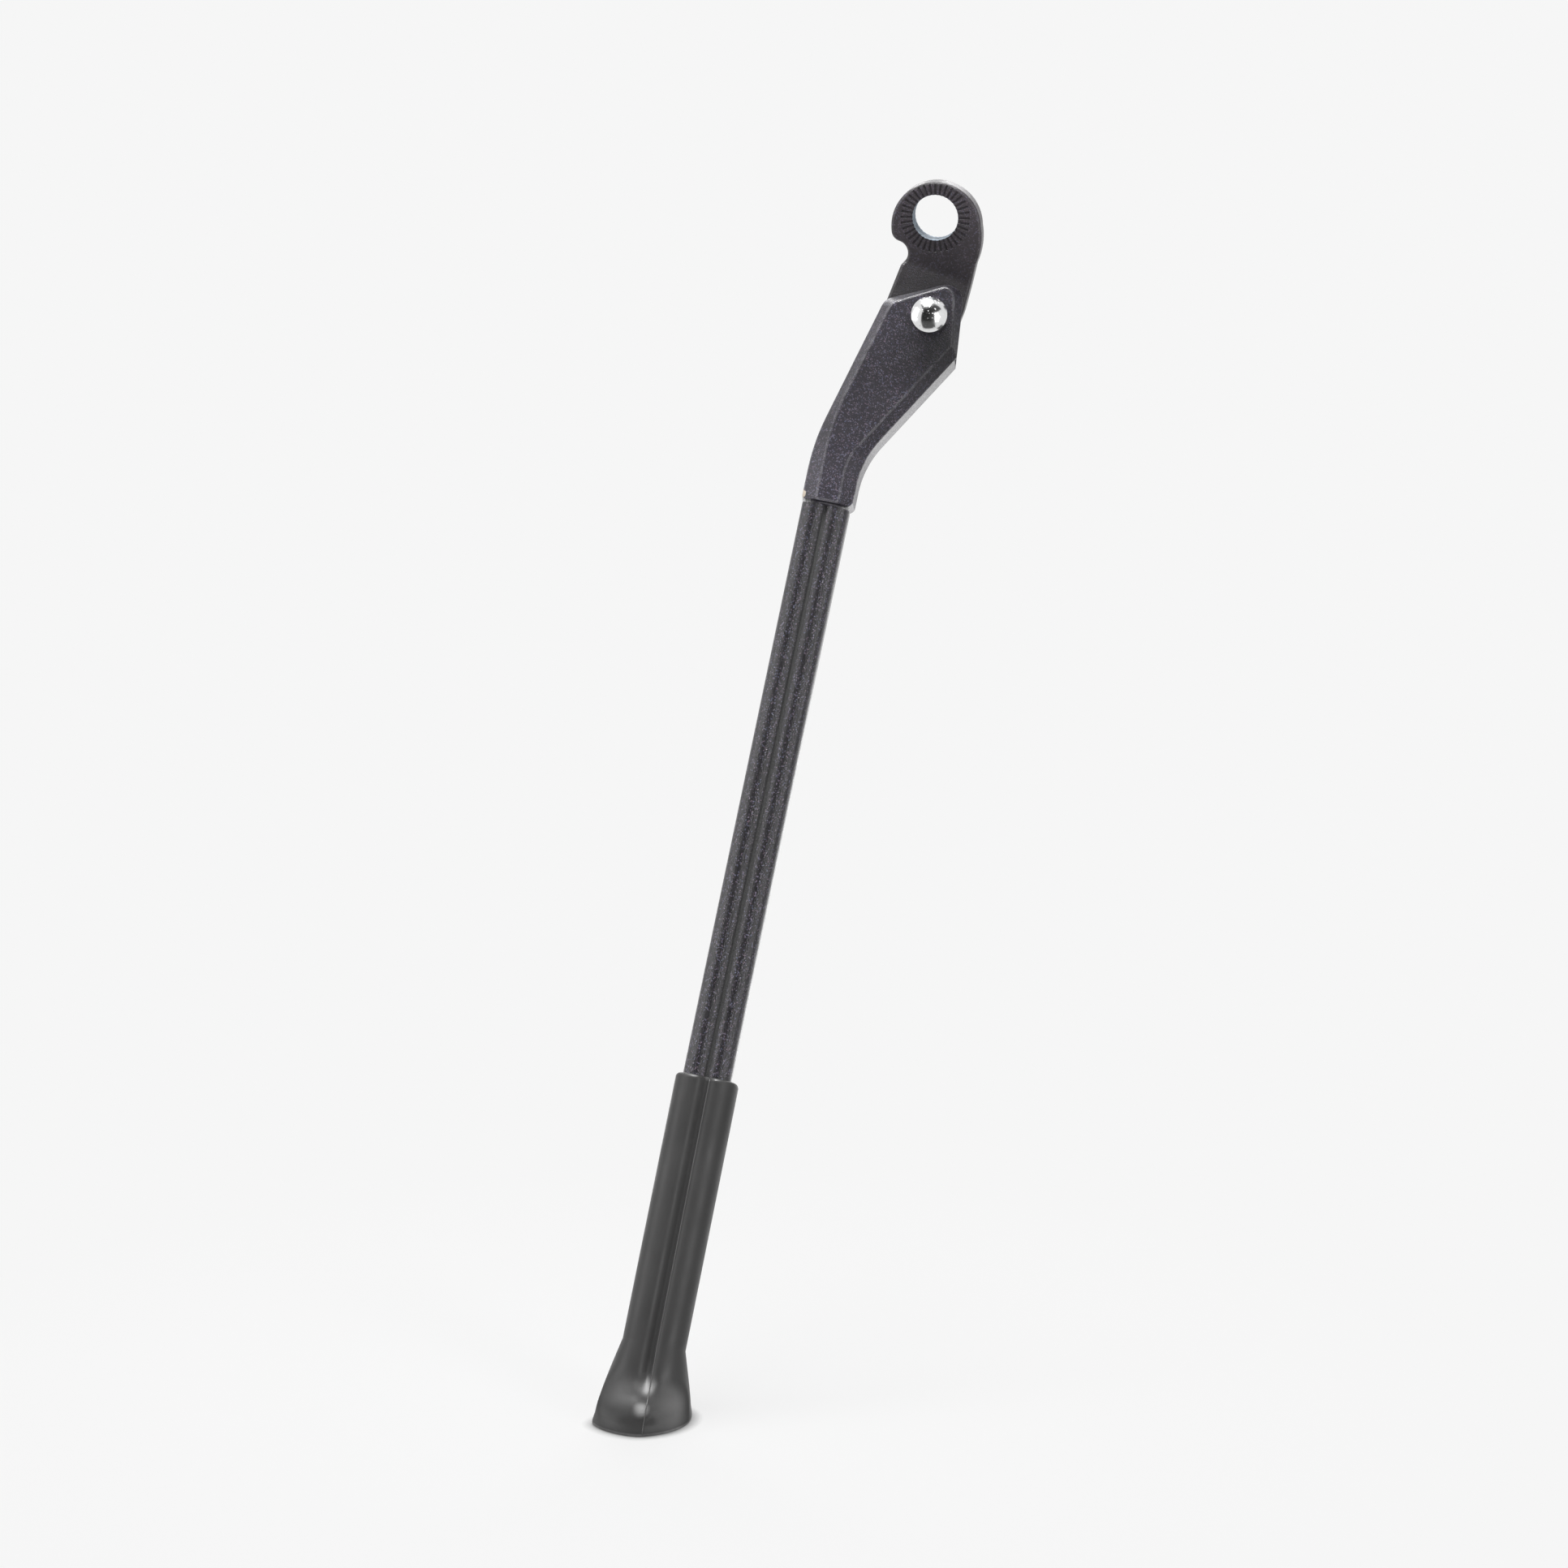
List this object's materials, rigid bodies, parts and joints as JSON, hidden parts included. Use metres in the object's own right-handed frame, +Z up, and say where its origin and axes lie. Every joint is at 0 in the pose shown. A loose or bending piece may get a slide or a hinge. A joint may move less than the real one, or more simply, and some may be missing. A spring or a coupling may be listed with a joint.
{
  "type": "bicycle kickstand",
  "caption": "Folding bicycle kickstand with a serrated axle eye on a bent bracket, a riveted fork head, a grooved hollow leg and a flared rubber foot.",
  "frame": {"origin": "centre of the axle eye's bore on its inboard seat", "axes": "+Y along the bore towards the bicycle, +X to the bicycle's rear, +Z up; the leg is down, ready to stand on"},
  "size_m": [0.0862, 0.1344, 0.3119],
  "materials": {
    "bracket": "satin black coating on steel plate",
    "head": "dark metallic coating on a die casting",
    "rivet": "polished",
    "steel": "plain",
    "leg": "dark speckled coating on an extrusion",
    "boot": "matt moulded rubber"
  },
  "bodies": {
    "bracket": {"mounting_bracket": "bracket"},
    "leg": {"pivot_head": "head", "pivot_rivet": "rivet", "leg_tube": "leg", "leg_pin": "steel", "foot_boot": "boot", "detent_spring": "steel"},
    "plunger": {"detent_plunger": "steel"}
  },
  "joints": [
    {"name": "fold", "type": "hinge", "parent": "bracket", "child": "leg", "pos_m": [-0.00129, -0.00794, -0.02724], "axis": [0.1281, -0.9272, 0.352], "range_deg": [0, 90]},
    {"name": "detent_press", "type": "slide", "parent": "leg", "child": "plunger", "axis": [0.5056, 0.3664, 0.7811], "range_m": [0, 0.0009], "deforming": ["detent_spring"]}
  ]
}
